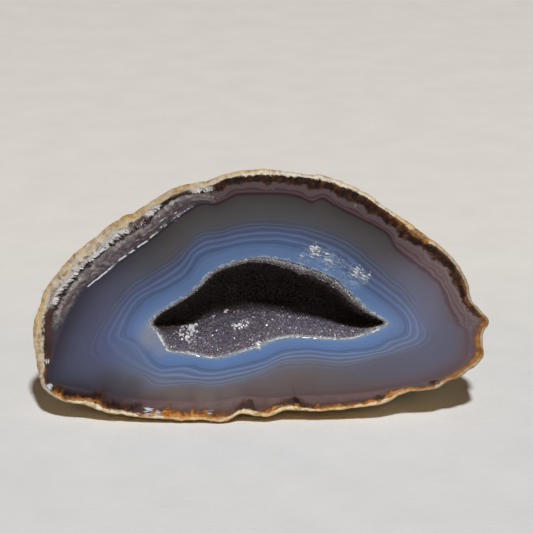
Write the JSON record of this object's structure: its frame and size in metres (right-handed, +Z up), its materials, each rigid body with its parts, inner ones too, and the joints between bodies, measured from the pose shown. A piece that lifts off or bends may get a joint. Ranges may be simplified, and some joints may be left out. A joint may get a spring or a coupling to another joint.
{
  "type": "geode half",
  "caption": "Half of a natural banded agate nodule with a polished sawn face, a crystal-lined hollow and a rough rounded back, leaning back on a sawn flat.",
  "frame": {"origin": "centre of the bounding box in X and Y, on the surface the stone stands on", "axes": "+X across the sawn face to the viewer's right, -Y towards the viewer of the face, +Z up; the face leans back 21 degrees from upright"},
  "size_m": [0.12, 0.0534, 0.0622],
  "materials": {
    "geode_half": "polished banded face, rough rind on the back",
    "crystal_lining": "small glassy smoke-grey quartz crystals"
  },
  "bodies": {
    "root": {"geode_half": "geode_half", "crystal_lining": "crystal_lining"}
  },
  "joints": []
}
